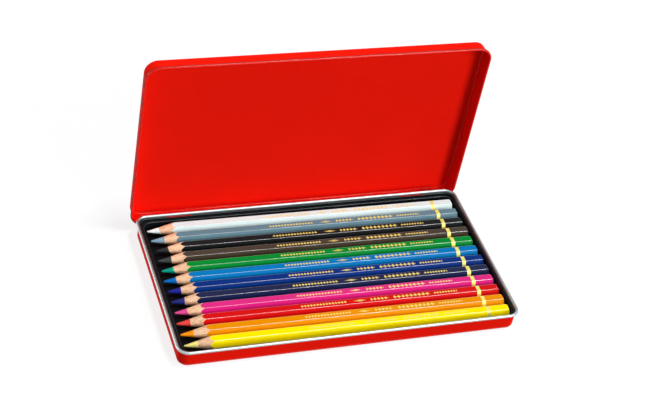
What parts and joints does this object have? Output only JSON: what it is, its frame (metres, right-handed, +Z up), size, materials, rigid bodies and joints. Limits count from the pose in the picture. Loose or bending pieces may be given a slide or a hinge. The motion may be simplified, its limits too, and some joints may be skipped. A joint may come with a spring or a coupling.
{
  "type": "pencil tin",
  "caption": "Flat hinged tin with rounded corners and a rolled rim, holding a row of six-sided coloured pencils in a black moulded insert.",
  "frame": {"origin": "middle of the tray's underside", "axes": "+X along the pencils from points to ends, +Y back towards the hinge, +Z up"},
  "size_m": [0.1892, 0.1134, 0.1104],
  "materials": {
    "tray_enamel": "gloss enamel, bare silver on the rolled rim",
    "lid_enamel": "gloss enamel",
    "hinge_steel": "bright wire",
    "leaf_enamel": "gloss enamel",
    "insert_plastic": "satin moulded plastic",
    "paint_white": "gloss lacquer on wood, bare wood at the point",
    "core_white": "matt waxy colour",
    "paint_grey": "gloss lacquer on wood, bare wood at the point",
    "core_grey": "matt waxy colour",
    "paint_black": "gloss lacquer on wood, bare wood at the point",
    "core_black": "matt waxy colour",
    "paint_brown": "gloss lacquer on wood, bare wood at the point",
    "core_brown": "matt waxy colour",
    "paint_green": "gloss lacquer on wood, bare wood at the point",
    "core_green": "matt waxy colour",
    "paint_azure": "gloss lacquer on wood, bare wood at the point",
    "core_azure": "matt waxy colour",
    "paint_ultramarine": "gloss lacquer on wood, bare wood at the point",
    "core_ultramarine": "matt waxy colour",
    "paint_indigo": "gloss lacquer on wood, bare wood at the point",
    "core_indigo": "matt waxy colour",
    "paint_magenta": "gloss lacquer on wood, bare wood at the point",
    "core_magenta": "matt waxy colour",
    "paint_red": "gloss lacquer on wood, bare wood at the point",
    "core_red": "matt waxy colour",
    "paint_orange": "gloss lacquer on wood, bare wood at the point",
    "core_orange": "matt waxy colour",
    "paint_yellow": "gloss lacquer on wood, bare wood at the point",
    "core_yellow": "matt waxy colour"
  },
  "bodies": {
    "tray": {"base_pan": "tray_enamel", "insert_tray": "insert_plastic", "hinge_leaf_left": "leaf_enamel", "hinge_leaf_right": "leaf_enamel", "hinge_pin_left": "hinge_steel", "hinge_pin_right": "hinge_steel"},
    "lid": {"lid": "lid_enamel"},
    "pencil_01": {"pencil_01_casing": "paint_white", "pencil_01_core": "core_white"},
    "pencil_02": {"pencil_02_casing": "paint_grey", "pencil_02_core": "core_grey"},
    "pencil_03": {"pencil_03_casing": "paint_black", "pencil_03_core": "core_black"},
    "pencil_04": {"pencil_04_casing": "paint_brown", "pencil_04_core": "core_brown"},
    "pencil_05": {"pencil_05_casing": "paint_green", "pencil_05_core": "core_green"},
    "pencil_06": {"pencil_06_casing": "paint_azure", "pencil_06_core": "core_azure"},
    "pencil_07": {"pencil_07_casing": "paint_ultramarine", "pencil_07_core": "core_ultramarine"},
    "pencil_08": {"pencil_08_casing": "paint_indigo", "pencil_08_core": "core_indigo"},
    "pencil_09": {"pencil_09_casing": "paint_magenta", "pencil_09_core": "core_magenta"},
    "pencil_10": {"pencil_10_casing": "paint_red", "pencil_10_core": "core_red"},
    "pencil_11": {"pencil_11_casing": "paint_orange", "pencil_11_core": "core_orange"},
    "pencil_12": {"pencil_12_casing": "paint_yellow", "pencil_12_core": "core_yellow"}
  },
  "joints": [
    {"name": "lid_hinge", "type": "hinge", "parent": "tray", "child": "lid", "pos_m": [0, 0.0532, 0.00342], "axis": [-1, 0, 0], "range_deg": [-88.1, 0]},
    {"name": "pencil_01_lift", "type": "slide", "parent": "tray", "child": "pencil_01", "axis": [0, 0, 1], "range_m": [0, 0.03]},
    {"name": "pencil_02_lift", "type": "slide", "parent": "tray", "child": "pencil_02", "axis": [0, 0, 1], "range_m": [0, 0.03]},
    {"name": "pencil_03_lift", "type": "slide", "parent": "tray", "child": "pencil_03", "axis": [0, 0, 1], "range_m": [0, 0.03]},
    {"name": "pencil_04_lift", "type": "slide", "parent": "tray", "child": "pencil_04", "axis": [0, 0, 1], "range_m": [0, 0.03]},
    {"name": "pencil_05_lift", "type": "slide", "parent": "tray", "child": "pencil_05", "axis": [0, 0, 1], "range_m": [0, 0.03]},
    {"name": "pencil_06_lift", "type": "slide", "parent": "tray", "child": "pencil_06", "axis": [0, 0, 1], "range_m": [0, 0.03]},
    {"name": "pencil_07_lift", "type": "slide", "parent": "tray", "child": "pencil_07", "axis": [0, 0, 1], "range_m": [0, 0.03]},
    {"name": "pencil_08_lift", "type": "slide", "parent": "tray", "child": "pencil_08", "axis": [0, 0, 1], "range_m": [0, 0.03]},
    {"name": "pencil_09_lift", "type": "slide", "parent": "tray", "child": "pencil_09", "axis": [0, 0, 1], "range_m": [0, 0.03]},
    {"name": "pencil_10_lift", "type": "slide", "parent": "tray", "child": "pencil_10", "axis": [0, 0, 1], "range_m": [0, 0.03]},
    {"name": "pencil_11_lift", "type": "slide", "parent": "tray", "child": "pencil_11", "axis": [0, 0, 1], "range_m": [0, 0.03]},
    {"name": "pencil_12_lift", "type": "slide", "parent": "tray", "child": "pencil_12", "axis": [0, 0, 1], "range_m": [0, 0.03]}
  ]
}
